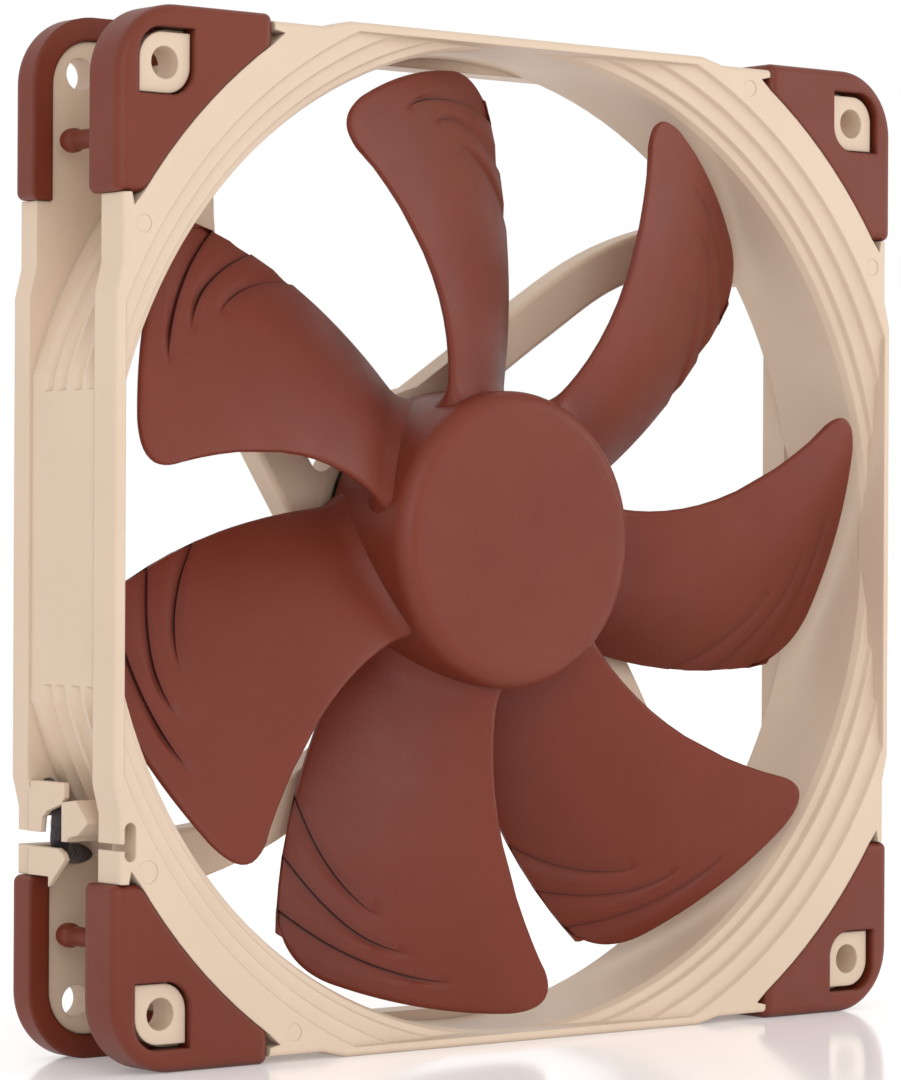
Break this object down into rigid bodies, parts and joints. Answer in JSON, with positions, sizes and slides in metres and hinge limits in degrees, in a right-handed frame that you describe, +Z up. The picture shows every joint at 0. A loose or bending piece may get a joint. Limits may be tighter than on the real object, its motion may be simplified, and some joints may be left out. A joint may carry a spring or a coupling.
{
  "type": "case fan",
  "caption": "Square axial case fan with round stepped duct, curved motor struts, swept-blade impeller that spins, soft corner pads and a short cable with plug.",
  "frame": {"origin": "on the rotor axis, midway between the front and rear faces of the frame", "axes": "+Y along the rotor axis in the direction of the airflow, front (intake) face towards -Y, +Z up, +X to the right seen from the front; the fan stands on its bottom edge"},
  "size_m": [0.14, 0.053, 0.14],
  "materials": {
    "frame_plastic": "smooth moulded beige plastic, satin",
    "impeller_plastic": "fine matte moulded red-brown plastic",
    "pad_rubber": "matte brown silicone",
    "cable_sleeve": "black braided sleeve",
    "yoke_steel": "drawn steel cup",
    "magnet": "bonded ferrite, matte dark grey",
    "brass": "turned brass",
    "shaft_steel": "ground steel",
    "dark_plastic": "black moulded plastic",
    "white_plastic": "natural nylon",
    "sintered_bronze": "oil-soaked sintered bronze",
    "lamination_steel": "stacked silicon steel",
    "copper_wire": "enamelled copper",
    "tinned_metal": "tin-plated metal",
    "board": "green solder mask",
    "chip_plastic": "black epoxy",
    "component_ceramic": "ceramic with tinned ends",
    "label_foil": "plain printed foil with nothing on it",
    "connector_plastic": "black connector plastic"
  },
  "bodies": {
    "frame_body": {"frame": "frame_plastic", "cable_held": "cable_sleeve", "cable_free": "cable_sleeve", "bearing_tube": "brass", "sleeve_bearing": "sintered_bronze", "thrust_plate": "white_plastic", "bearing_cap": "dark_plastic", "stator_core": "lamination_steel", "stator_insulator_front": "white_plastic", "stator_insulator_rear": "white_plastic", "stator_coils": "copper_wire", "winding_pins": "tinned_metal", "circuit_board": "board", "hall_sensor": "chip_plastic", "driver_chip": "chip_plastic", "board_components": "component_ceramic", "hub_label_disc": "label_foil", "connector_housing": "connector_plastic", "connector_terminals": "tinned_metal", "pad_front_top_left": "pad_rubber", "pad_front_top_right": "pad_rubber", "pad_front_bottom_left": "pad_rubber", "pad_front_bottom_right": "pad_rubber", "pad_rear_top_left": "pad_rubber", "pad_rear_top_right": "pad_rubber", "pad_rear_bottom_left": "pad_rubber", "pad_rear_bottom_right": "pad_rubber"},
    "rotor": {"impeller": "impeller_plastic", "rotor_yoke": "yoke_steel", "rotor_magnet": "magnet", "shaft_insert": "brass", "rotor_shaft": "shaft_steel", "oil_seal_ring": "dark_plastic", "shaft_retaining_clip": "white_plastic"}
  },
  "joints": [
    {"name": "impeller_spin", "type": "hinge", "parent": "frame_body", "child": "rotor", "pos_m": [0, 0, 0], "axis": [0, -1, 0], "continuous": true}
  ]
}
